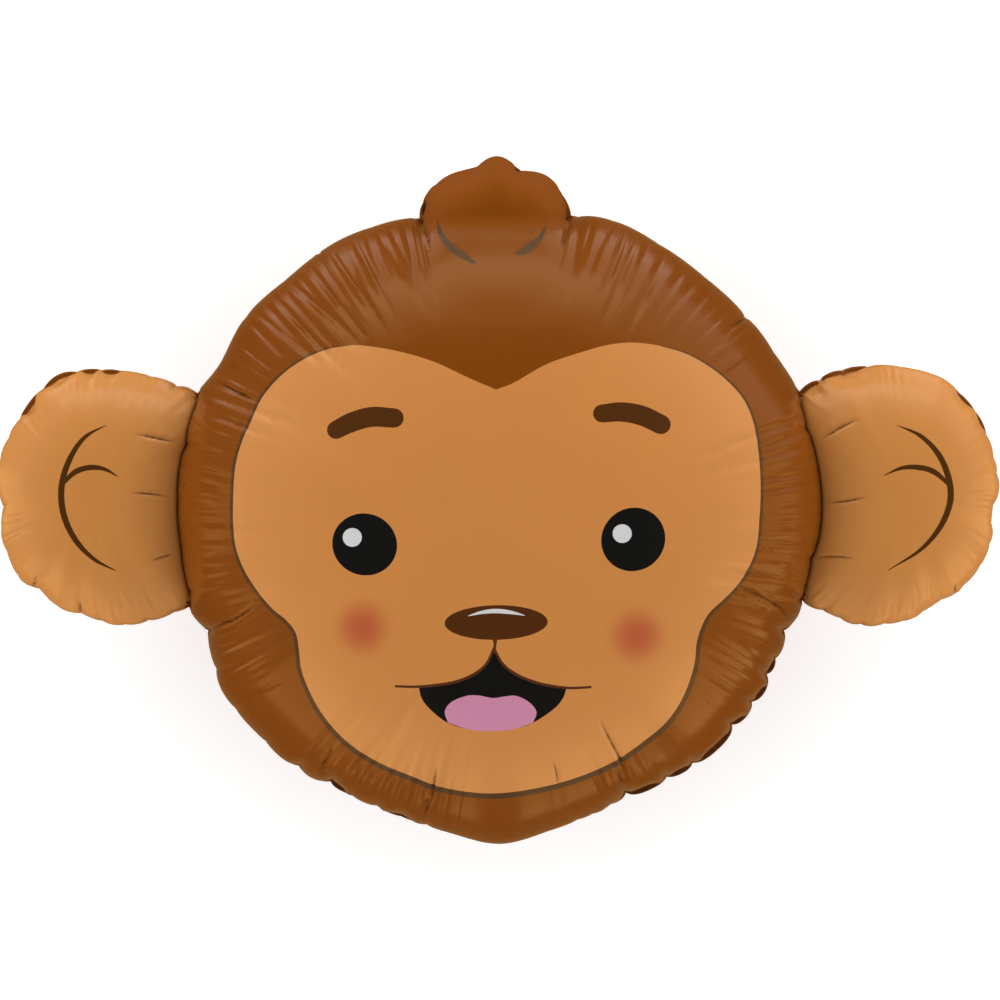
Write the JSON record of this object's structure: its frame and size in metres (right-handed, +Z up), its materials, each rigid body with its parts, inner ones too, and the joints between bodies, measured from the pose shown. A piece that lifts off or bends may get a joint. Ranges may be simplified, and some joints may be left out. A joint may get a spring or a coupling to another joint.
{
  "type": "foil balloon",
  "caption": "Inflated foil balloon in the shape of a smiling monkey's head with round ears and a tuft of hair, lying on its back; party decoration.",
  "frame": {"origin": "middle of the footprint, on the surface that the balloon lies on", "axes": "+Z up out of the printed face, +Y towards the tuft, +X towards the ear at the viewer's right"},
  "size_m": [0.9002, 0.6162, 0.3291],
  "materials": {
    "film": "satin printed film, brown with a tan face and ears"
  },
  "bodies": {
    "root": {"foil_balloon": "film"}
  },
  "joints": []
}
